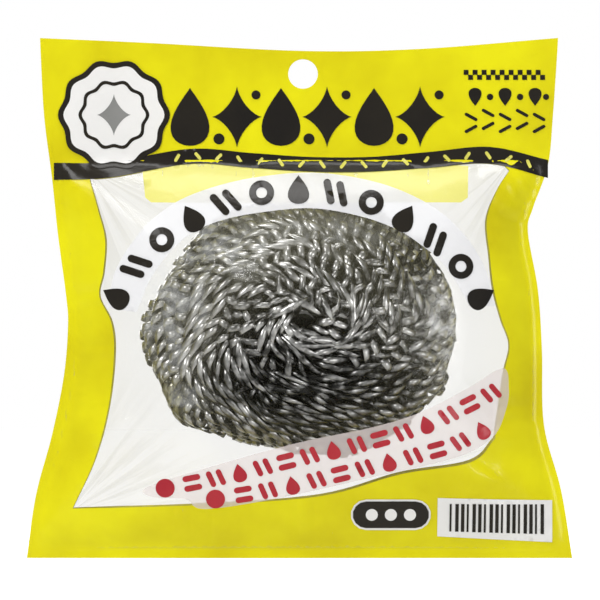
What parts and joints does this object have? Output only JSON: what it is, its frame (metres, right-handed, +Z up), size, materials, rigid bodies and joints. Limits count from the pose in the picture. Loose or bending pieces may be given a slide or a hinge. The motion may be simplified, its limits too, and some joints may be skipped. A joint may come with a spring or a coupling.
{
  "type": "pot scrubber",
  "caption": "Curled steel ribbon pot scrubber sealed in a flat film hanging pouch with a printed frame, a clear window and a round hang hole.",
  "frame": {"origin": "centre of the hang hole, midway between the two films", "axes": "+Z up as the pouch hangs, -Y out of the printed front, +X to the viewer's right"},
  "size_m": [0.148, 0.043, 0.1411],
  "materials": {
    "clear_film": "clear, glossy, crinkled",
    "yellow_print": "glossy printed film",
    "pale_veil": "translucent printed film",
    "black_print": "glossy printed film",
    "white_print": "glossy printed film",
    "curled_steel": "bright stainless ribbon",
    "packed_steel": "dark packed ribbon"
  },
  "bodies": {
    "root": {"front_film": "clear_film", "back_film": "clear_film", "front_print": "yellow_print", "back_print": "yellow_print", "top_veil": "pale_veil", "arch_veil": "pale_veil", "rise_veil": "pale_veil", "band_print": "black_print", "pill_print": "black_print", "label_print": "white_print", "plate_print": "white_print", "ribbon_core": "packed_steel", "front_ribbon": "curled_steel", "rim_ribbon": "curled_steel", "back_ribbon": "curled_steel", "centre_tie": "curled_steel"}
  },
  "joints": []
}
